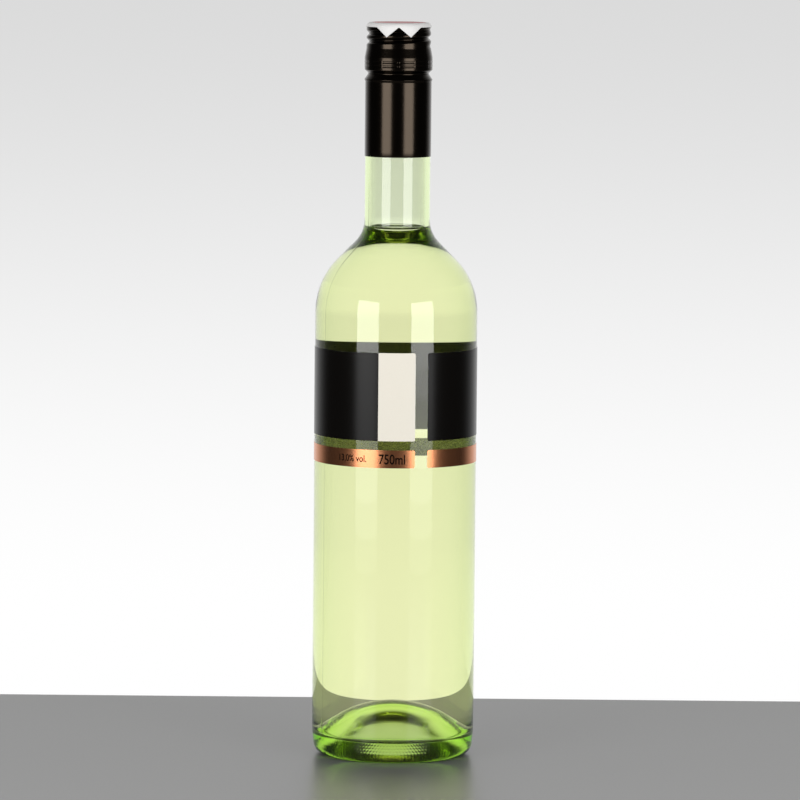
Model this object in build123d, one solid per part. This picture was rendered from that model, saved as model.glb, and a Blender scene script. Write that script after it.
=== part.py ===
from build123d import *
import os
from math import asin, atan2, cos, hypot, radians, sin, tan

os.makedirs("parts", exist_ok=True)

# A full 750 ml wine bottle, millimetres, +Z up, standing on z = 0 with its axis on Z.
# The front, with the label's two ends, faces -Y.

# Glass bottle, outside
BODY_RADIUS = 36.65
BODY_HEIGHT = 215.25          # to the corner where the side's line meets the shoulder's slope
SHOULDER_ANGLE = 45.0         # of the slope, from upright
SHOULDER_ROUNDING = 34.0
NECK_RADIUS = 14.70
NECK_LENGTH = 92.8            # from the corner where the slope meets the neck's line to the lip
NECK_ROUNDING = 14.7
HEEL_HEIGHT = 11.0            # where the side starts to draw in
HEEL_DRAW_IN = 1.15           # how far it has drawn in at the table
HEEL_BLEND = 14.0             # rounding from the side into the drawn-in heel
HEEL_ROUNDING = 5.5           # from the heel to the underside
BEARING_WIDTH = 2.7           # flat ring under the heel, to the corner of the punt's mouth
BEARING_EDGE = 2.0            # rounding of that corner

# Glass bottle, inside
BODY_WALL = 2.9
NECK_WALL = 2.45
PUNT_HEIGHT = 25.5            # top of the punt on the wine's side
PUNT_ROUNDING = 26.0
PUNT_THICKNESS = 4.2
CAVITY_CORNER_HEIGHT = 3.05   # corner of the punt's flank and the side wall
CAVITY_CORNER_ROUNDING = 4.5

# Finish of the glass, inside the closure
FINISH_STEP = 1.7             # how much slimmer it is than the neck
FINISH_LENGTH = 25.0
FINISH_SLOPE = 1.5            # height of the sloped step
MOUTH_RADIUS = 9.25
MOUTH_LENGTH = 14.0
MOUTH_TAPER = 18.0            # length over which the mouth widens to the neck's bore
LIP_ROUNDING = 1.2

# Wine
WINE_ABOVE_SHOULDER = 1.3     # level above the corner of slope and neck
WINE_GAP = 0.02

# Screw closure: drawn aluminium with its liner
CAP_LENGTH = 60.0
CAP_WALL = 0.24
CAP_GAP = 0.06                # between closure and glass
CAP_TOP = 1.55                # metal and liner above the lip
CAP_TOP_ROUNDING = 1.8
THREAD_STEP = 0.45            # how much slimmer the threaded part is than the skirt
THREAD_DEPTH = 1.1
THREAD_GROOVE_RADIUS = 0.95
THREAD_PITCH = 3.6
THREAD_TURNS = 2.0
THREAD_START = 10.25          # depth of the groove's lower end under the closure's top
THREAD_FOOT = 11.3            # depth where the side starts to widen to the band
BAND_STEP = 0.3               # how much wider the band is than the skirt
BAND_START = 15.5             # depth of its upper edge
BAND_LENGTH = 5.6
SCORE_DEPTH = 0.22            # scored tear lines in the band
SCORE_RADIUS = 0.4
SCORE_COUNT = 2
LOCK_GROOVE_DEPTH = 1.45      # rolled in below the glass's locking ring
LOCK_GROOVE_HEIGHT = 1.6
BEAD_STEP = 0.4               # how much the bead stands out from the skirt
BEAD_BELOW_GROOVE = 2.7
BEAD_HEIGHT = 1.1

# Paper seal over the closure
SEAL_THICKNESS = 0.12
SEAL_RIM = 1.6                # how far it comes down the side all round
SEAL_TOOTH_LENGTH = 6.2       # depth of a tooth's tip
SEAL_TOOTH_TIP = 22.0         # degrees from the front
SEAL_TOOTH_END = 43.0         # degrees from the front

# Labels
PAPER_THICKNESS = 0.13
GLUE_LINE = 0.02
LABEL_DROP = 29.65            # top of the label below the body's corner
LABEL_HEIGHT = 39.5
STRIP_GAP = 4.07
STRIP_HEIGHT = 8.04
LABEL_START = 23.2            # degrees from the front, towards +X, where the wrap begins
LABEL_OPEN = 9.2              # degrees left open between its two ends
LABEL_CORNER = 0.8

# Worked out from the sizes above
SLOPE = radians(SHOULDER_ANGLE)
CAVITY_RADIUS = BODY_RADIUS - BODY_WALL
BORE_RADIUS = NECK_RADIUS - NECK_WALL
FINISH_RADIUS = NECK_RADIUS - FINISH_STEP
SHOULDER_TOP = BODY_HEIGHT + (BODY_RADIUS - NECK_RADIUS) / tan(SLOPE)
GLASS_HEIGHT = SHOULDER_TOP + NECK_LENGTH
FINISH_BOTTOM = GLASS_HEIGHT - FINISH_LENGTH
WINE_LEVEL = SHOULDER_TOP + WINE_ABOVE_SHOULDER
CAP_RADIUS = NECK_RADIUS + CAP_GAP + CAP_WALL
CAP_CREST = CAP_RADIUS - THREAD_STEP
CAP_UP = GLASS_HEIGHT + CAP_TOP
CAP_DOWN = CAP_UP - CAP_LENGTH


def outline(points, radii):
    """Outline through (radius, height) points in the XZ plane, each inner corner rounded."""
    return FilletPolyline(*[(r, 0, z) for r, z in points], radius=radii)


def turned(*lines):
    """Solid of revolution about Z from lines that, with the axis, close an outline."""
    first, last = lines[0] @ 0, lines[-1] @ 1
    return revolve(make_face(list(lines) + [Line(last, first)]), Axis.Z)


def flank_angle(dome, top, radius, height):
    """Slope of the flank that leaves a dome's arc tangentially and ends at (radius, height)."""
    rise = height - (top - dome)
    return asin(dome / hypot(radius, rise)) - atan2(rise, radius)


def dome_arc(dome, top, angle):
    """A dome's arc, from its top on the axis to where its slope has grown to angle."""
    centre = top - dome
    points = [(dome * sin(a), 0, centre + dome * cos(a)) for a in (0, angle / 2, angle)]
    return ThreePointArc(*points)


def outer_glass():
    """The bottle's outside, with the punt and the underside, as a full solid."""
    heel_radius = BODY_RADIUS - HEEL_DRAW_IN
    lean = atan2(HEEL_DRAW_IN, HEEL_HEIGHT)
    bearing_outer = heel_radius - HEEL_ROUNDING / tan((radians(90) + lean) / 2)
    mouth = bearing_outer - BEARING_WIDTH
    dome = min(PUNT_ROUNDING - PUNT_THICKNESS, 0.9 * mouth)
    top = PUNT_HEIGHT - PUNT_THICKNESS
    arc = dome_arc(dome, top, flank_angle(dome, top, mouth, 0))
    foot = arc @ 1
    side = outline(
        [
            (foot.X, foot.Z),
            (mouth, 0),
            (heel_radius, 0),
            (BODY_RADIUS, HEEL_HEIGHT),
            (BODY_RADIUS, BODY_HEIGHT),
            (NECK_RADIUS, SHOULDER_TOP),
            (NECK_RADIUS, FINISH_BOTTOM),
            (FINISH_RADIUS, FINISH_BOTTOM + FINISH_SLOPE),
            (FINISH_RADIUS, GLASS_HEIGHT),
            (0, GLASS_HEIGHT),
        ],
        [BEARING_EDGE, HEEL_ROUNDING, HEEL_BLEND, SHOULDER_ROUNDING, NECK_ROUNDING, 0.5, 0.5, LIP_ROUNDING],
    )
    return turned(arc, side)


def cavity(gap, top_height):
    """The bottle's inside, drawn in by gap all round and cut off level at top_height."""
    radius = CAVITY_RADIUS - gap
    bore = BORE_RADIUS - gap
    mouth = MOUTH_RADIUS - gap
    inset = BODY_WALL + gap
    dome = PUNT_ROUNDING + gap
    top = PUNT_HEIGHT + gap
    arc = dome_arc(dome, top, flank_angle(dome, top, radius, CAVITY_CORNER_HEIGHT + gap))
    foot = arc @ 1
    shoulder = BODY_HEIGHT - inset * tan(SLOPE / 2)
    shoulder_top = BODY_HEIGHT + ((BODY_RADIUS - bore) * cos(SLOPE) - inset) / sin(SLOPE)
    mouth_bottom = GLASS_HEIGHT - MOUTH_LENGTH
    side = outline(
        [
            (foot.X, foot.Z),
            (radius, CAVITY_CORNER_HEIGHT + gap),
            (radius, shoulder),
            (bore, shoulder_top),
            (bore, mouth_bottom - MOUTH_TAPER),
            (mouth, mouth_bottom),
            (mouth, GLASS_HEIGHT + 1),
            (0, GLASS_HEIGHT + 1),
        ],
        [CAVITY_CORNER_ROUNDING - gap, SHOULDER_ROUNDING - inset, NECK_ROUNDING + inset, 6, 6, 0],
    )
    inside = turned(arc, side)
    cutter = Pos(0, 0, top_height / 2) * Cylinder(BODY_RADIUS, top_height)
    return inside & cutter


def make_bottle():
    """Blown glass bottle: its outside less its inside."""
    return outer_glass() - cavity(0, GLASS_HEIGHT + 1)


def make_wine():
    """The wine, filling the inside up to its level."""
    return cavity(WINE_GAP, WINE_LEVEL)


def thread_groove():
    """Round-bottomed helical groove rolled into the closure, right-handed."""
    height = THREAD_PITCH * THREAD_TURNS
    path = Helix(THREAD_PITCH, height, CAP_CREST - THREAD_DEPTH + THREAD_GROOVE_RADIUS)
    section = Plane(path @ 0, z_dir=path % 0) * Circle(THREAD_GROOVE_RADIUS)
    return Pos(0, 0, CAP_UP - THREAD_START) * sweep(section, path, is_frenet=True)


def score_line(depth):
    """Shallow ring-shaped score in the closure's band."""
    centre = CAP_RADIUS + BAND_STEP + SCORE_RADIUS - SCORE_DEPTH
    return Pos(0, 0, CAP_UP - depth) * Torus(centre, SCORE_RADIUS)


def make_closure():
    """Long aluminium screw closure with rolled thread, scored band, locking groove and skirt."""
    band_end = BAND_START + BAND_LENGTH
    groove = band_end + LOCK_GROOVE_HEIGHT
    bead = groove + BEAD_BELOW_GROOVE
    shape = [
        (0, 0),
        (CAP_CREST, 0),
        (CAP_CREST, THREAD_FOOT),
        (CAP_RADIUS + BAND_STEP, BAND_START),
        (CAP_RADIUS + BAND_STEP, band_end),
        (CAP_RADIUS - LOCK_GROOVE_DEPTH, groove),
        (CAP_RADIUS + BEAD_STEP, bead),
        (CAP_RADIUS, bead + BEAD_HEIGHT),
        (CAP_RADIUS, CAP_LENGTH),
        (0, CAP_LENGTH),
    ]
    outside = turned(
        outline(
            [(r, CAP_UP - depth) for r, depth in shape],
            [CAP_TOP_ROUNDING, 3, 0.5, 0.6, 0.7, 0.3, 0.3, 0],
        )
    )
    hollow = turned(
        outline(
            [
                (0, CAP_DOWN - 1),
                (NECK_RADIUS + CAP_GAP, CAP_DOWN - 1),
                (NECK_RADIUS + CAP_GAP, FINISH_BOTTOM),
                (FINISH_RADIUS + CAP_GAP, FINISH_BOTTOM + FINISH_SLOPE + CAP_GAP),
                (FINISH_RADIUS + CAP_GAP, GLASS_HEIGHT),
                (0, GLASS_HEIGHT),
            ],
            [0, 0, 0, 0],
        )
    )
    solid = outside - hollow - thread_groove()
    for number in range(SCORE_COUNT):
        solid -= score_line(BAND_START + BAND_LENGTH * (number + 1) / (SCORE_COUNT + 1))
    return solid


def seal_body(lift):
    """The closure's threaded part grown by lift, as deep as the seal's teeth."""
    radius = CAP_CREST + lift
    return turned(
        outline(
            [
                (0, CAP_UP + lift),
                (radius, CAP_UP + lift),
                (radius, CAP_UP - SEAL_TOOTH_LENGTH),
                (0, CAP_UP - SEAL_TOOTH_LENGTH),
            ],
            [CAP_TOP_ROUNDING + lift, 0],
        )
    )


def seal_outline():
    """The seal seen from the front: a straight rim with two teeth, cut through to the back."""
    reach = 2 * CAP_RADIUS
    rim = CAP_UP - SEAL_RIM
    tip = CAP_UP - SEAL_TOOTH_LENGTH
    tip_x = CAP_CREST * sin(radians(SEAL_TOOTH_TIP))
    end_x = CAP_CREST * sin(radians(SEAL_TOOTH_END))
    half = [(reach, CAP_UP + 1), (reach, rim), (end_x, rim), (tip_x, tip), (0, rim)]
    other = [(-x, z) for x, z in reversed(half[:-1])]
    face = make_face(Polyline(*[(x, 0, z) for x, z in half + other], close=True))
    return extrude(face, reach, dir=(0, 1, 0), both=True)


def make_seal():
    """Paper disc folded down over the closure's edge, with pointed teeth front and back."""
    shell = seal_body(GLUE_LINE + SEAL_THICKNESS) - seal_body(GLUE_LINE)
    return shell & seal_outline()


def wrapped_label(bottom, height):
    """A label of that height glued round the body, with rounded corners at its open ends."""
    inner = BODY_RADIUS + GLUE_LINE
    section = Polyline(
        (inner, 0, bottom),
        (inner + PAPER_THICKNESS, 0, bottom),
        (inner + PAPER_THICKNESS, 0, bottom + height),
        (inner, 0, bottom + height),
        close=True,
    )
    band = revolve(make_face(section), Axis.Z, 360 - LABEL_OPEN)
    corners = [e for e in band.edges() if abs(e.length - PAPER_THICKNESS) < 1e-4]
    band = fillet(corners, LABEL_CORNER)
    return Rot(0, 0, LABEL_START - 90) * band


def main():
    label_bottom = BODY_HEIGHT - LABEL_DROP - LABEL_HEIGHT
    strip_bottom = label_bottom - STRIP_GAP - STRIP_HEIGHT
    pieces = {
        "bottle": make_bottle(),
        "wine": make_wine(),
        "closure": make_closure(),
        "seal": make_seal(),
        "label_band": wrapped_label(label_bottom, LABEL_HEIGHT),
        "label_strip": wrapped_label(strip_bottom, STRIP_HEIGHT),
    }
    for name, piece in pieces.items():
        export_step(piece, f"parts/{name}.step")
        print(name, "volume", round(piece.volume), "mm3")
    print("wine", round(pieces["wine"].volume / 1000, 1), "ml at level", round(WINE_LEVEL, 1))


main()
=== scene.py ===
import bpy
import numpy as np
from mathutils import Matrix


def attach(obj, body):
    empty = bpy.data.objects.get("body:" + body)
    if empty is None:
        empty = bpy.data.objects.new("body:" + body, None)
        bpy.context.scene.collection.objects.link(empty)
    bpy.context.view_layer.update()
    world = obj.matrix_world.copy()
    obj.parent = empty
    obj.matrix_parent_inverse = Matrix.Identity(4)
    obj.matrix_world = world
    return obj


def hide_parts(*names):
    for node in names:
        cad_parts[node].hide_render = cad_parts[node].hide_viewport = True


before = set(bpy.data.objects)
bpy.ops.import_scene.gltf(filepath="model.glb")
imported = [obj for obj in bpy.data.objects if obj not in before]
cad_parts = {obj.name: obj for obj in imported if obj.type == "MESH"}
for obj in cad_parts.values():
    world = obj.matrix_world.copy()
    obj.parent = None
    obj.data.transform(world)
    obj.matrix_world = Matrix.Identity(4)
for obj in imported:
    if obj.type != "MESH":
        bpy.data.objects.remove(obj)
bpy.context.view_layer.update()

# ---------------------------------------------------------------------------
# Glass bottle. Blown in a two-part mould from pale green glass: a deep punt, a stippled ring to
# stand on, a round shoulder and a slim neck. The mould leaves two upright seams.
# ---------------------------------------------------------------------------
MM = 0.001                    # sizes are in millimetres, meshes in metres
BODY = 36.65
WALL = 2.9
NECK = 14.70
NECK_WALL = 2.45
CORNER = 215.25               # height where the side's line meets the shoulder's slope
SHOULDER_ROUND = 34.0
NECK_ROUND = 14.7
LIP = 330.0
HEEL = 35.5
HEEL_HEIGHT = 11.0
HEEL_ROUND = 5.5
HEEL_BLEND = 14.0
MOUTH_OF_PUNT = 27.85
PUNT_TOP = 25.5
PUNT_ROUND = 26.0
PUNT_GLASS = 4.2
BASE_CORNER = 3.05            # corner of the punt's flank and the inner wall
BASE_CORNER_ROUND = 4.5
FINISH = 13.0
BORE_AT_LIP = 9.25
BORE_JOIN = 262.0             # height in the plain bore where the inside's path takes over
FLOOR_ROWS = slice(0, 24)     # rows of the inside's path whose radius grows
WALL_ROWS = slice(20, None)   # rows of the inside's path whose height grows
SHOULDER_TOP = CORNER + BODY - NECK
WINE_LEVEL = SHOULDER_TOP + 1.3
HALF_SLOPE = np.tan(np.radians(22.5))
SEAMS = (-60.6, 119.4)        # degrees from the front, towards +X
SEAM_HEIGHT = 0.06
SEAM_HALF_WIDTH = 0.45
WAVE_OUTSIDE = 0.012
WAVE_INSIDE = 0.05
DOT_HEIGHT = 0.11
BAR_DEPTH = 0.15
BARS = 56
COLUMNS = 480
GLASS_TINT = (0.775, 0.970, 0.270)
GLASS_DENSITY = 100.0


def rounded(points, radii, steps, rows):
    """Path through (radius, height) corners. Each inner corner becomes an arc that touches both
    runs at radius / tan(half the corner's angle) from it; runs are cut into equal parts."""
    points = np.array(points, float)
    path = [points[:1]]
    for i, (radius, count, cuts) in enumerate(zip(radii, steps, rows)):
        before, at, after = points[i], points[i + 1], points[i + 2]
        a = (before - at) / np.linalg.norm(before - at)
        b = (after - at) / np.linalg.norm(after - at)
        half = np.arccos(np.clip(a @ b, -1, 1)) / 2
        start = at + a * radius / np.tan(half)
        end = at + b * radius / np.tan(half)
        centre = at + (a + b) / np.linalg.norm(a + b) * radius / np.sin(half)
        from_angle = np.arctan2(*(start - centre)[::-1])
        sweep = np.arctan2(*(end - centre)[::-1]) - from_angle
        sweep = (sweep + np.pi) % (2 * np.pi) - np.pi
        turn = from_angle + sweep * np.linspace(0, 1, count + 1)[:, None]
        arc = centre + radius * np.hstack([np.cos(turn), np.sin(turn)])
        run = np.linspace(0, 1, cuts + 1)[1:-1, None]
        path += [path[-1][-1] + (start - path[-1][-1]) * run, arc]
    return np.vstack(path + [points[-1:]])


def dome(radius, top, foot, count):
    """Arc of a dome from its top on the axis to the flank that touches it and ends at foot."""
    rise = foot[1] - (top - radius)
    slope = np.arcsin(radius / np.hypot(foot[0], rise)) - np.arctan2(rise, foot[0])
    turn = np.linspace(0, slope, count + 1)[:, None]
    return np.hstack([radius * np.sin(turn), top - radius + radius * np.cos(turn)])


def turn_angles(count):
    """Angles round the axis, closer together at the mould seams: the running total of a density
    that is 1 plus a narrow bell at each seam, scaled back to a full turn."""
    fine = np.linspace(0, 2 * np.pi, 20001)
    density = np.ones_like(fine)
    for seam in SEAMS:
        away = (fine - np.radians(seam - 90) + np.pi) % (2 * np.pi) - np.pi
        density += 5 * np.exp(-(away / np.radians(1.6)) ** 2)
    total = np.concatenate([[0], np.cumsum((density[1:] + density[:-1]) / 2)])
    return np.interp(np.arange(count) / count * total[-1], total, fine)


def outward(path):
    """Unit normals of a path, to the right of its direction."""
    along = np.gradient(path, axis=0)
    normal = np.column_stack([along[:, 1], -along[:, 0]])
    return normal / np.maximum(np.linalg.norm(normal, axis=1, keepdims=True), 1e-9)


def lathe(name, radius, height, angles):
    """Closed surface of revolution: rings at radius[ring, column] and height[ring, column] round
    the axis, each joined to the next. The first and last rings become a single vertex each."""
    xyz = np.stack([radius * np.cos(angles), radius * np.sin(angles), height], axis=-1)[1:-1]
    rings, columns = xyz.shape[:2]
    grid = np.arange(rings * columns).reshape(rings, columns)
    across = np.roll(grid, -1, axis=1)
    quads = np.stack([grid[:-1], across[:-1], across[1:], grid[1:]], axis=-1).reshape(-1, 4)
    poles = [[0, 0, height[0].mean()], [0, 0, height[-1].mean()]]
    verts = np.vstack([xyz.reshape(-1, 3), poles])
    first = np.full(columns, len(verts) - 2)
    first_fan = np.column_stack([first, across[0], grid[0]])
    last_fan = np.column_stack([first + 1, grid[-1], across[-1]])
    return new_piece(name, verts * MM, quads.tolist() + first_fan.tolist() + last_fan.tolist())


def new_piece(name, verts, faces):
    """Smooth-shaded mesh object at the origin."""
    mesh = bpy.data.meshes.new(name)
    mesh.from_pydata(verts.tolist(), [], faces)
    mesh.validate()
    mesh.shade_smooth()
    piece = bpy.data.objects.new(name, mesh)
    bpy.context.scene.collection.objects.link(piece)
    return piece


def paint(piece, materials, pick=None):
    """Gives a piece its materials; pick says which one each face takes from the faces' centres."""
    for material in materials:
        piece.data.materials.append(material)
    if pick is None:
        return
    index = pick(face_centres(piece)).astype(np.int32)
    piece.data.polygons.foreach_set("material_index", index)


def clear_stuff(name, ior, tint, density):
    """Clear solid or liquid: smooth, tinted by its depth. The faces' attribute "dry" scales the
    mirror image seen straight on, which is nothing where glass and wine touch."""
    material = bpy.data.materials.new(name)
    material.use_nodes = True
    nodes = material.node_tree.nodes
    shader = nodes["Principled BSDF"]
    shader.inputs["Base Color"].default_value = (1, 1, 1, 1)
    shader.inputs["Roughness"].default_value = 0.0
    shader.inputs["IOR"].default_value = ior
    shader.inputs["Transmission Weight"].default_value = 1.0
    dry = nodes.new("ShaderNodeAttribute")
    dry.attribute_name = "dry"
    material.node_tree.links.new(dry.outputs["Fac"], shader.inputs["Specular Tint"])
    volume = nodes.new("ShaderNodeVolumeAbsorption")
    volume.inputs["Color"].default_value = (*tint, 1)
    volume.inputs["Density"].default_value = density
    material.node_tree.links.new(volume.outputs[0], nodes["Material Output"].inputs["Volume"])
    return material


def inner_path(grow):
    """The bottle's inside from the punt's top up into the plain bore, pushed outwards by grow."""
    radius = BODY - WALL + grow
    bore = NECK - NECK_WALL + grow
    inset = WALL - grow
    foot = (radius, BASE_CORNER - grow)
    cap = dome(PUNT_ROUND - grow, PUNT_TOP - grow, foot, 12)
    bore_corner = CORNER + (BODY - bore) - inset * np.sqrt(2)
    rest = rounded(
        [cap[-1], foot, (radius, CORNER - inset * HALF_SLOPE), (bore, bore_corner), (bore, BORE_JOIN)],
        [BASE_CORNER_ROUND + grow, SHOULDER_ROUND - inset, NECK_ROUND + inset],
        [10, 16, 12],
        [4, 6, 4],
    )
    return np.vstack([cap[:-1], rest])


def glass_path():
    """Half section of the glass, from the punt's underside out, up, over the lip and back down."""
    under_top = PUNT_TOP - PUNT_GLASS
    cap = dome(PUNT_ROUND - PUNT_GLASS, under_top, (MOUTH_OF_PUNT, 0), 8)
    outside = rounded(
        [
            cap[-1],
            (MOUTH_OF_PUNT, 0),
            (HEEL, 0),
            (BODY, HEEL_HEIGHT),
            (BODY, CORNER),
            (NECK, SHOULDER_TOP),
            (NECK, LIP - 25),
            (FINISH, LIP - 23.5),
            (FINISH, LIP),
            (BORE_AT_LIP, LIP),
            (BORE_AT_LIP, LIP - 14),
            (NECK - NECK_WALL, LIP - 32),
            (NECK - NECK_WALL, BORE_JOIN),
        ],
        [2.0, HEEL_ROUND, HEEL_BLEND, SHOULDER_ROUND, NECK_ROUND, 0.5, 0.5, 1.2, 1.2, 6, 6],
        [6, 10, 4, 18, 12, 2, 2, 3, 3, 2, 2],
        [30, 4, 4, 6, 4, 4, 1, 2, 1, 2, 2],
    )
    inside = inner_path(0.0)[::-1]
    return np.vstack([cap[:-1], outside[:-1], inside])


def glass_relief(path, angles):
    """Outward relief of the glass in mm: seams as narrow bells, slow waves as products of sines,
    and on the underside staggered small dots and the short bars of the bearing ring."""
    radius, height = path[:, :1], path[:, 1:]
    row = np.arange(len(path))[:, None]
    column = np.arange(len(angles))[None, :]
    outside = row < np.argmax(path[:, 1]) + 1
    shell = outside & (row > np.argmin(path[:, 1]))
    relief = np.zeros((len(path), len(angles)))
    for seam in SEAMS:
        away = (angles - np.radians(seam - 90) + np.pi) % (2 * np.pi) - np.pi
        ridge = SEAM_HEIGHT * np.exp(-(away * BODY / SEAM_HALF_WIDTH) ** 2)
        relief += ridge * (shell & (height > 8) & (height < 268))
    wave = np.sin(3 * angles + height / 17) * np.sin(height / 23 + 1.3 * np.sin(angles))
    relief += wave * np.where(outside, WAVE_OUTSIDE, WAVE_INSIDE) * ((height > 30) & (height < 225))
    under = outside & (height < 19.5) & (radius < 34.8) & (radius > 9)
    dots = (row % 3 == 0) & ((column + 2 * (row // 3)) % 4 == 0)
    relief += DOT_HEIGHT * dots * under
    bearing = outside & (height < 0.05) & (radius > 28)
    return np.where(bearing, -BAR_DEPTH * (0.5 - 0.5 * np.cos(BARS * angles)), relief)


def make_bottle():
    """The glass as one closed surface, with its relief along the section's normals."""
    path = glass_path()
    angles = turn_angles(COLUMNS)
    normal = outward(path)
    relief = glass_relief(path, angles)
    radius = path[:, :1] + normal[:, :1] * relief
    height = np.maximum(path[:, 1:] + normal[:, 1:] * relief, 0)
    radius[[0, -1]] = 0
    return lathe("glass_bottle", radius, height, angles)


def dry_faces(centres):
    """0 for faces of the inner wall that the wine touches, 1 elsewhere."""
    r = np.hypot(centres[:, 0], centres[:, 1])
    z = centres[:, 2]
    section = inner_path(0.0)
    wall_radius = np.interp(z, section[WALL_ROWS, 1], section[WALL_ROWS, 0])
    floor_height = np.interp(r, section[FLOOR_ROWS, 0], section[FLOOR_ROWS, 1])
    wall = np.abs(r - wall_radius) < 0.5
    floor = (z > 3) & (z < 26) & (z > floor_height - 1.0) & (r < 33)
    return 1.0 - ((wall | floor) & (z < WINE_LEVEL))


def mark_dry(piece, values):
    """Stores the dry value of each face."""
    attribute = piece.data.attributes.new("dry", "FLOAT", "FACE")
    attribute.data.foreach_set("value", values.astype(np.float32))


def face_centres(piece):
    """Centres of a piece's faces in mm."""
    centres = np.empty(len(piece.data.polygons) * 3)
    piece.data.polygons.foreach_get("center", centres)
    return centres.reshape(-1, 3) / MM


bottle = make_bottle()
mark_dry(bottle, dry_faces(face_centres(bottle)))
paint(bottle, [clear_stuff("green glass", 1.52, GLASS_TINT, GLASS_DENSITY)])
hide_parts("bottle")
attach(bottle, "root")

# ---------------------------------------------------------------------------
# White wine. It fills the bottle up to the foot of the neck and creeps up the glass a little at
# its edge. It reaches a hair into the wall, so that no air shows between wine and glass.
# ---------------------------------------------------------------------------
WINE_REACH = 0.12
WINE_TINT = (0.995, 0.800, 0.240)
WINE_DENSITY = 5.0
MENISCUS_RISE = 1.3
MENISCUS_WIDTH = 1.1
WINE_COLUMNS = 256


def make_wine():
    """Wall of the wine up to its level, then its top, which rises at the glass as an exponential."""
    inside = inner_path(WINE_REACH)
    edge_height = WINE_LEVEL + MENISCUS_RISE
    wall = inside[inside[:, 1] < edge_height - 0.3]
    edge = np.interp(edge_height, inside[WALL_ROWS, 1], inside[WALL_ROWS, 0])
    radius = edge * (1 - np.linspace(0, 1, 26) ** 1.6)
    top = WINE_LEVEL + MENISCUS_RISE * np.exp(-(edge - radius) / MENISCUS_WIDTH)
    path = np.vstack([wall, np.column_stack([radius, top])])
    angles = np.arange(WINE_COLUMNS) / WINE_COLUMNS * 2 * np.pi
    round_shape = np.ones((1, WINE_COLUMNS))
    return lathe("wine_body", path[:, :1] * round_shape, path[:, 1:] * round_shape, angles)


def dry_top(centres):
    """1 for the wine's top, 0 for its sides and bottom."""
    r = np.hypot(centres[:, 0], centres[:, 1])
    return 1.0 * ((centres[:, 2] > WINE_LEVEL - 0.05) & (r < 12.6))


wine = make_wine()
mark_dry(wine, dry_top(face_centres(wine)))
paint(wine, [clear_stuff("white wine", 1.343, WINE_TINT, WINE_DENSITY)])
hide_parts("wine")
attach(wine, "root")

# ---------------------------------------------------------------------------
# Screw closure. Drawn from thin aluminium, lacquered dark brown, then rolled onto the bottle:
# a right-handed thread, a scored band that tears, a locking groove, a bead and a long skirt.
# ---------------------------------------------------------------------------
CAP_TOP = 331.55
CAP_LENGTH = 60.0
CAP_SKIRT = 15.0
CAP_CREST = 14.55
CAP_BAND = 15.3
CAP_BEAD = 15.38
CAP_INSIDE = 14.76
CAP_BORE = 13.06
CAP_PLATE = 1.55
CAP_EDGE_ROUND = 1.8
CAP_COLUMNS = 512
LOCK_GROOVE = 13.55
SCORES = (17.37, 19.23)       # depths under the top
SCORE_DEPTH = 0.22
SCORE_HALF_WIDTH = 0.28
BRIDGES = 12
THREAD_PITCH = 3.6
THREAD_TURNS = 2.0
THREAD_START = 10.25          # depth of its lower end under the top
THREAD_DEPTH = 1.1
GRAIN_SCALE = 5200.0


def grain_group():
    """Fine random grain in the object's own coordinates, as a mask from 0 to 1."""
    group = bpy.data.node_groups.new("fine grain", "ShaderNodeTree")
    group.interface.new_socket("Scale", in_out="INPUT", socket_type="NodeSocketFloat")
    group.interface.new_socket("Mask", in_out="OUTPUT", socket_type="NodeSocketFloat")
    nodes, links = group.nodes, group.links
    given = nodes.new("NodeGroupInput")
    place = nodes.new("ShaderNodeTexCoord")
    noise = nodes.new("ShaderNodeTexNoise")
    noise.inputs["Detail"].default_value = 3.0
    out = nodes.new("NodeGroupOutput")
    links.new(place.outputs["Object"], noise.inputs["Vector"])
    links.new(given.outputs["Scale"], noise.inputs["Scale"])
    links.new(noise.outputs["Fac"], out.inputs["Mask"])
    return group


GRAIN = grain_group()


def finish(name, dark, light, metallic, rough, scale, bump=0.0, shine=0.5):
    """Opaque finish: grain mixes two close colours, moves the roughness and lifts the surface."""
    material = bpy.data.materials.new(name)
    material.use_nodes = True
    nodes, links = material.node_tree.nodes, material.node_tree.links
    shader = nodes["Principled BSDF"]
    shader.inputs["Metallic"].default_value = metallic
    shader.inputs["Specular IOR Level"].default_value = shine
    grain = nodes.new("ShaderNodeGroup")
    grain.node_tree = GRAIN
    grain.inputs["Scale"].default_value = scale
    colour = nodes.new("ShaderNodeMix")
    colour.data_type = "RGBA"
    colour.inputs[6].default_value = (*dark, 1)
    colour.inputs[7].default_value = (*light, 1)
    roughness = nodes.new("ShaderNodeMapRange")
    roughness.inputs["To Min"].default_value = rough[0]
    roughness.inputs["To Max"].default_value = rough[1]
    links.new(grain.outputs["Mask"], colour.inputs[0])
    links.new(grain.outputs["Mask"], roughness.inputs["Value"])
    links.new(colour.outputs[2], shader.inputs["Base Color"])
    links.new(roughness.outputs[0], shader.inputs["Roughness"])
    if bump:
        lift = nodes.new("ShaderNodeBump")
        lift.inputs["Strength"].default_value = bump
        lift.inputs["Distance"].default_value = 0.00004
        links.new(grain.outputs["Mask"], lift.inputs["Height"])
        links.new(lift.outputs[0], shader.inputs["Normal"])
    return material


def thread_relief(depth, angles):
    """Depth of the rolled thread: a raised cosine across the pitch, along a helix that rises to
    the right, fading in over a quarter turn and out over half a turn."""
    turns = (THREAD_START - depth) / THREAD_PITCH - angles / (2 * np.pi)
    across = (turns + 0.5) % 1 - 0.5
    along = turns - across + angles / (2 * np.pi)
    ends = np.clip(along / 0.25 + 0.35, 0, 1) * np.clip((THREAD_TURNS - along) / 0.5 + 0.35, 0, 1)
    return THREAD_DEPTH * (0.5 + 0.5 * np.cos(2 * np.pi * across)) ** 1.5 * ends


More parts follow.
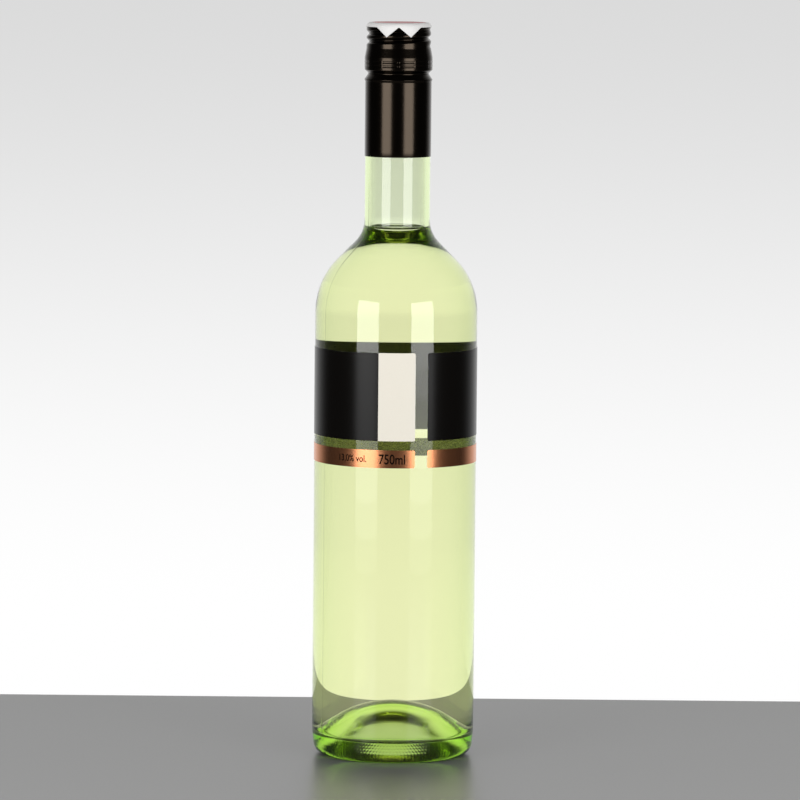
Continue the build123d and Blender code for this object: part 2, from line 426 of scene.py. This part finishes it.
def make_closure():
    """Outside from the crown to the skirt's edge, then the plain inside back up to the crown."""
    side = rounded(
        [
            (0, 0),
            (CAP_CREST, 0),
            (CAP_CREST, 11.3),
            (CAP_BAND, 15.5),
            (CAP_BAND, 21.1),
            (LOCK_GROOVE, 22.7),
            (CAP_BEAD, 25.4),
            (CAP_SKIRT, 26.5),
            (CAP_SKIRT, CAP_LENGTH),
            (CAP_INSIDE, CAP_LENGTH),
            (CAP_INSIDE, 26.5),
            (CAP_BORE, 25.0),
            (CAP_BORE, CAP_PLATE),
            (0, CAP_PLATE),
        ],
        [CAP_EDGE_ROUND, 3, 0.5, 0.6, 0.7, 0.3, 0.3, 0.08, 0.08, 0.3, 0.3, 0.1],
        [8, 6, 4, 5, 6, 4, 3, 2, 2, 2, 2, 2],
        [2, 44, 5, 14, 3, 4, 3, 10, 1, 4, 1, 3],
    )
    angles = np.arange(CAP_COLUMNS) / CAP_COLUMNS * 2 * np.pi
    depth = side[:, 1:]
    outside = np.arange(len(side))[:, None] <= np.argmax(side[:, 1])
    relief = -thread_relief(depth, angles) * (outside & (depth > 2.0) & (depth < 12.2))
    bridges = np.where(np.cos(BRIDGES * angles) > 0.93, 0.3, 1.0)
    for score in SCORES:
        dent = SCORE_DEPTH * np.exp(-((depth - score) / SCORE_HALF_WIDTH) ** 2)
        relief = relief - dent * bridges * outside
    radius = np.maximum(side[:, :1] + relief, 0)
    height = CAP_TOP - depth + np.zeros((1, CAP_COLUMNS))
    return lathe("screw_closure", radius[::-1], height[::-1], angles)


closure = make_closure()
paint(
    closure,
    [finish("brown lacquered aluminium", (0.020, 0.0155, 0.0115), (0.042, 0.033, 0.025), 1.0,
            (0.12, 0.22), GRAIN_SCALE, bump=0.25)],
)
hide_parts("closure")
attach(closure, "root")

# ---------------------------------------------------------------------------
# Paper seal. A round of white paper with a red field, folded down over the closure's edge, with
# two pointed teeth hanging over the thread at the front and two at the back.
# ---------------------------------------------------------------------------
SEAL_LIFT = 0.02
SEAL_THICKNESS = 0.12
SEAL_RIM = 1.6
SEAL_TIP = 6.2
SEAL_COLUMNS = 720
RED_FIELD = 12.0


def seal_depth(angles):
    """How far the paper comes down at each angle: straight lines, seen from the front, from the
    rim at 43 degrees to a tooth's tip at 22 degrees and back to the rim at 0."""
    across = np.abs(np.cos(angles)) * CAP_CREST
    tip, end = CAP_CREST * np.sin(np.radians([22.0, 43.0]))
    return np.interp(across, [0, tip, end], [SEAL_RIM, SEAL_TIP, SEAL_RIM])


def make_seal():
    """Outer skin from the middle over the edge and down, then the inner skin back."""
    angles = np.arange(SEAL_COLUMNS) / SEAL_COLUMNS * 2 * np.pi
    low = -np.maximum(seal_depth(angles), CAP_EDGE_ROUND)
    rings = np.array([0, 3, 6, 9, RED_FIELD - 0.01, RED_FIELD + 0.01])[:, None]
    turn = np.linspace(0, np.pi / 2, 8)[:, None]
    drop = np.linspace(0, 1, 7)[1:, None]
    skins = []
    for lift in (SEAL_LIFT + SEAL_THICKNESS, SEAL_LIFT):
        edge = CAP_EDGE_ROUND + lift
        flat = rings * np.ones((1, SEAL_COLUMNS))
        bend_r = CAP_CREST - CAP_EDGE_ROUND + edge * np.sin(turn) + 0 * angles
        bend_z = -(edge * (1 - np.cos(turn))) + lift + 0 * angles
        down_z = -CAP_EDGE_ROUND + (low + CAP_EDGE_ROUND) * drop
        down_r = CAP_CREST + lift + 0 * down_z
        radius = np.vstack([flat, bend_r, down_r])
        height = np.vstack([flat * 0 + lift, bend_z, down_z]) + CAP_TOP
        skins.append((radius, height))
    radius = np.vstack([skins[0][0], skins[1][0][::-1]])
    height = np.vstack([skins[0][1], skins[1][1][::-1]])
    return lathe("paper_seal", radius[::-1], height[::-1], angles)


def red_field(centres):
    """1 for the faces of the top's red round."""
    return (np.hypot(centres[:, 0], centres[:, 1]) < RED_FIELD) & (centres[:, 2] > CAP_TOP + 0.1)


seal = make_seal()
paint(
    seal,
    [
        finish("white coated paper", (0.80, 0.79, 0.78), (0.88, 0.87, 0.86), 0.0, (0.4, 0.55), 3000.0,
               bump=0.1),
        finish("red print on paper", (0.55, 0.035, 0.04), (0.66, 0.05, 0.055), 0.0, (0.35, 0.5), 3000.0,
               bump=0.1),
    ],
    red_field,
)
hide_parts("seal")
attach(seal, "root")

# ---------------------------------------------------------------------------
# Label. One wide strip of black coated paper glued right round the body, its two ends a finger
# apart at the front. The last stretch before the right-hand end is printed white. It is bare.
# ---------------------------------------------------------------------------
LABEL_LOW = 146.1
LABEL_HIGH = 185.6
LABEL_START = 23.2            # degrees from the front, towards +X
LABEL_END = 14.0
PANEL_START = -12.1
LABEL_OUTSIDE = 36.765
LABEL_INSIDE = 36.63          # a hair inside the glass, as wet glue leaves no air
LABEL_CORNER = 0.8
LABEL_ROWS = 9


def wrap(name, low, high, sectors):
    """Thin closed band round the body. Its ends are rounded: within a corner's radius c of an end
    the height shrinks by c - sqrt(c^2 - (c - d)^2) at distance d from it. sectors are angles where
    the print changes."""
    start = np.radians(LABEL_START - 90)
    end = np.radians(LABEL_END + 270)
    tight = LABEL_CORNER / LABEL_OUTSIDE * (1 - np.cos(np.linspace(0, np.pi / 2, 9)))
    even = np.linspace(start + tight[-1], end - tight[-1], 361)
    cuts = np.radians(np.array(sectors) + 270)
    angles = np.unique(np.concatenate([start + tight, cuts, end - tight[::-1], even]))
    gap = np.minimum(angles - start, end - angles) * LABEL_OUTSIDE
    shrink = LABEL_CORNER - np.sqrt(
        np.maximum(LABEL_CORNER**2 - np.maximum(LABEL_CORNER - gap, 0) ** 2, 0)
    )
    share = np.linspace(0, 1, LABEL_ROWS)
    rise = low + shrink[:, None] + (high - low - 2 * shrink[:, None]) * share
    radius = np.repeat([LABEL_OUTSIDE, LABEL_INSIDE], LABEL_ROWS)
    z = np.hstack([rise, rise[:, ::-1]])
    x = radius * np.cos(angles)[:, None]
    y = radius * np.sin(angles)[:, None]
    verts = np.stack([x, y, z], axis=-1).reshape(-1, 3)
    grid = np.arange(len(angles) * 2 * LABEL_ROWS).reshape(len(angles), 2 * LABEL_ROWS)
    nearer = np.roll(grid, -1, axis=1)
    quads = np.stack([grid[:-1], grid[1:], nearer[1:], nearer[:-1]], axis=-1).reshape(-1, 4)
    ends = [grid[0].tolist(), grid[-1][::-1].tolist()]
    piece = new_piece(name, verts * MM, quads.tolist() + ends)
    piece.data.set_sharp_from_angle(angle=np.radians(40))
    return piece


def paper_back(centres):
    """True for the faces of a label that are nearer to its inside than to its outside."""
    return np.hypot(centres[:, 0], centres[:, 1]) < (LABEL_OUTSIDE + LABEL_INSIDE) / 2 - 0.01


def label_faces(centres):
    """0 for the black print, 1 for the white panel, 2 for the unprinted back."""
    from_front = np.degrees(np.arctan2(centres[:, 0], -centres[:, 1]))
    panel = (from_front > PANEL_START) & (from_front < LABEL_END + 1)
    return np.where(paper_back(centres), 2, np.where(panel, 1, 0))


label = wrap("black_label", LABEL_LOW, LABEL_HIGH, [PANEL_START])
paint(
    label,
    [
        finish("black label print", (0.0022, 0.0018, 0.0015), (0.0045, 0.0038, 0.0032), 0.0,
               (0.20, 0.28), 2600.0, bump=0.12, shine=0.16),
        finish("white label print", (0.80, 0.755, 0.655), (0.86, 0.815, 0.715), 0.0, (0.45, 0.6), 2600.0,
               bump=0.08),
        finish("silvered label back", (0.34, 0.34, 0.22), (0.44, 0.44, 0.30), 1.0, (0.24, 0.34), 1500.0),
    ],
    label_faces,
)
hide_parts("label_band")
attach(label, "root")

# ---------------------------------------------------------------------------
# Copper-coloured strip under the label, foil on paper, glued round the body with the same ends.
# It carries only the strength and the volume, printed black.
# ---------------------------------------------------------------------------
STRIP_LOW = 133.99
STRIP_HIGH = 142.03
PRINT_LIFT = 0.030            # clears the sag of a flat stroke over the round foil
DIGIT_SHARE = 0.70            # height of a digit in a line of type of height 1


def printed(name, words, centre, width, height, material):
    """Words laid flat, scaled to width and height, then bent round the body about centre degrees
    from the front: a point x along the line moves to the angle x / radius."""
    curve = bpy.data.curves.new(name, "FONT")
    curve.body = words
    curve.resolution_u = 6
    curve.offset = 0.012
    flat = bpy.data.objects.new(name, curve)
    bpy.context.scene.collection.objects.link(flat)
    bpy.context.view_layer.update()
    mesh = bpy.data.meshes.new_from_object(flat)
    bpy.data.objects.remove(flat)
    xyz = np.empty(len(mesh.vertices) * 3)
    mesh.vertices.foreach_get("co", xyz)
    xyz = xyz.reshape(-1, 3)
    low, high = xyz.min(axis=0), xyz.max(axis=0)
    x = (xyz[:, 0] - (low[0] + high[0]) / 2) * width / (high[0] - low[0])
    z = xyz[:, 1] * height / DIGIT_SHARE
    radius = LABEL_OUTSIDE + PRINT_LIFT
    angle = np.radians(centre - 90) + x / radius
    base = (STRIP_LOW + STRIP_HIGH - height) / 2
    bent = np.column_stack([radius * np.cos(angle), radius * np.sin(angle), base + z]) * MM
    mesh.vertices.foreach_set("co", bent.ravel())
    mesh.update()
    piece = bpy.data.objects.new(name, mesh)
    bpy.context.scene.collection.objects.link(piece)
    mesh.materials.append(material)
    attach(piece, "root")
    return piece


strip = wrap("copper_strip", STRIP_LOW, STRIP_HIGH, [])
paint(
    strip,
    [
        finish("copper foil", (0.66, 0.255, 0.115), (0.80, 0.34, 0.165), 1.0, (0.20, 0.29), 1800.0,
               bump=0.2),
        finish("foil back", (0.78, 0.78, 0.72), (0.88, 0.88, 0.82), 1.0, (0.22, 0.32), 1500.0),
    ],
    paper_back,
)
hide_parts("label_strip")
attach(strip, "root")
ink = finish("black ink", (0.002, 0.0018, 0.0015), (0.004, 0.0035, 0.003), 0.0, (0.55, 0.65), 2600.0,
             shine=0.0)
printed("strength_print", "13,0% vol.", -31.5, 14.2, 3.0, ink)
printed("volume_print", "750ml", -2.1, 11.8, 4.4, ink)

# ---------------------------------------------------------------------------
# Stage: a satin grey table that ends a little behind the bottle, a white surround, and two tall
# soft lamps in front, left and right, each in strips that dim towards its lower end.
# ---------------------------------------------------------------------------
TABLE_BACK = 0.168
TABLE_REACH = 1.45
TABLE_THICKNESS = 0.02
LAMP_DISTANCE = 0.70
LAMP_RADIANCE = 5.2
LAMP_EDGES = (0.0, 0.02, 0.04, 0.06, 0.08, 0.10, 0.12, 0.435)
LAMP_SHARES = (0.1, 0.22, 0.36, 0.52, 0.68, 0.84, 1.0)
DIM = 0.04                    # of the surround in front of the bottle
FILL = 0.42                   # of the surround on matt surfaces


def make_table():
    """Flat top as one thin slab."""
    sides = (-TABLE_REACH, TABLE_REACH)
    ends = (-TABLE_REACH, TABLE_BACK)
    verts = np.array([(x, y, z) for z in (-TABLE_THICKNESS, 0) for y in ends for x in sides])
    faces = [(0, 2, 3, 1), (4, 5, 7, 6), (0, 1, 5, 4), (2, 6, 7, 3), (0, 4, 6, 2), (1, 3, 7, 5)]
    table = new_piece("table_top", verts, faces)
    table.data.shade_flat()
    paint(table, [finish("satin grey table", (0.13, 0.13, 0.128), (0.19, 0.19, 0.188), 0.0,
                         (0.26, 0.38), 900.0, shine=0.25)])
    return table


def make_lamp(name, azimuth, width, low, high, share):
    """Upright soft lamp facing the bottle's axis from azimuth degrees beside the front, at a
    share of the full brightness."""
    light = bpy.data.lights.new(name, "AREA")
    light.shape = "RECTANGLE"
    light.size = width
    light.size_y = high - low
    light.energy = share * LAMP_RADIANCE * np.pi * width * (high - low)
    lamp = bpy.data.objects.new(name, light)
    turn = Matrix.Rotation(np.radians(azimuth), 4, "Z")
    place = Matrix.Translation((0, -LAMP_DISTANCE, (low + high) / 2))
    lamp.matrix_world = turn @ place @ Matrix.Rotation(np.radians(90), 4, "X")
    lamp.visible_camera = False
    lamp.visible_transmission = False
    bpy.context.scene.collection.objects.link(lamp)


def make_surround():
    """White behind and dim in front, as in a small studio. What the camera sees, straight or
    through clear pieces, is white, a little dimmer towards the top. Levels follow the direction's
    parts along Y and Z by smooth steps."""
    world = bpy.data.worlds.new("studio")
    bpy.context.scene.world = world
    world.use_nodes = True
    nodes, links = world.node_tree.nodes, world.node_tree.links

    def maths(operation, a, b):
        """One step of arithmetic on two sockets or numbers."""
        node = nodes.new("ShaderNodeMath")
        node.operation = operation
        for socket, value in zip(node.inputs, (a, b)):
            if isinstance(value, (int, float)):
                socket.default_value = value
            else:
                links.new(value, socket)
        return node.outputs[0]

    def ramp(value, from_low, from_high, to_low, to_high):
        """Smooth step of a socket's value from one range to another."""
        node = nodes.new("ShaderNodeMapRange")
        node.interpolation_type = "SMOOTHSTEP"
        for key, number in zip(
            ("From Min", "From Max", "To Min", "To Max"), (from_low, from_high, to_low, to_high)
        ):
            node.inputs[key].default_value = number
        links.new(value, node.inputs["Value"])
        return node.outputs[0]

    direction = nodes.new("ShaderNodeSeparateXYZ")
    links.new(nodes.new("ShaderNodeTexCoord").outputs["Generated"], direction.inputs[0])
    rays = nodes.new("ShaderNodeLightPath")
    straight = maths("LESS_THAN", rays.outputs["Glossy Depth"], 0.5)
    undiffused = maths("LESS_THAN", rays.outputs["Diffuse Depth"], 0.5)
    unscattered = maths("MULTIPLY", straight, undiffused)
    through = maths("MULTIPLY", rays.outputs["Is Transmission Ray"], unscattered)
    seen = maths("MAXIMUM", rays.outputs["Is Camera Ray"], through)
    seen_level = ramp(direction.outputs["Z"], -0.135, -0.02, 1.0, 0.70)
    outside = ramp(direction.outputs["Y"], 0.35, 1.0, DIM, 1.0)
    inside = ramp(direction.outputs["Y"], 0.0, 0.8, DIM, 1.0)
    from_inside = maths("GREATER_THAN", rays.outputs["Transmission Depth"], 0.5)
    studio = maths(
        "ADD",
        maths("MULTIPLY", from_inside, inside),
        maths("MULTIPLY", maths("SUBTRACT", 1.0, from_inside), outside),
    )
    diffuse = maths("MULTIPLY", rays.outputs["Is Diffuse Ray"], FILL)
    studio_level = maths("MAXIMUM", studio, diffuse)
    level = maths(
        "ADD",
        maths("MULTIPLY", seen, seen_level),
        maths("MULTIPLY", maths("SUBTRACT", 1.0, seen), studio_level),
    )
    background = nodes["Background"]
    background.inputs["Color"].default_value = (1, 1, 1, 1)
    links.new(level, background.inputs["Strength"])


table = make_table()
for low, high, share in zip(LAMP_EDGES, LAMP_EDGES[1:], LAMP_SHARES):
    make_lamp(f"lamp_left_{share}", -40.0, 0.40, low, high, share)
    make_lamp(f"lamp_right_{share}", 37.2, 0.41, low, high, share)
make_surround()

# ---------------------------------------------------------------------------
# Camera: a long lens well back, a little above the closure, looking slightly down.
# ---------------------------------------------------------------------------
CAMERA_PLACE = (0.002013, -2.6991, 0.42798)
CAMERA_DOWN = 5.647
CAMERA_ROLL = 0.529

lens = bpy.data.cameras.new("camera")
lens.lens = 269.86
lens.sensor_width = 36.0
lens.clip_start = 0.05
camera = bpy.data.objects.new("camera", lens)
camera.matrix_world = (
    Matrix.Translation(CAMERA_PLACE)
    @ Matrix.Rotation(np.radians(90 - CAMERA_DOWN), 4, "X")
    @ Matrix.Rotation(np.radians(CAMERA_ROLL), 4, "Z")
)
bpy.context.scene.collection.objects.link(camera)
bpy.context.scene.camera = camera
bpy.context.scene.view_settings.view_transform = "Standard"
bpy.context.scene.cycles.max_bounces = 32
bpy.context.scene.cycles.transmission_bounces = 32
bpy.context.scene.cycles.glossy_bounces = 16
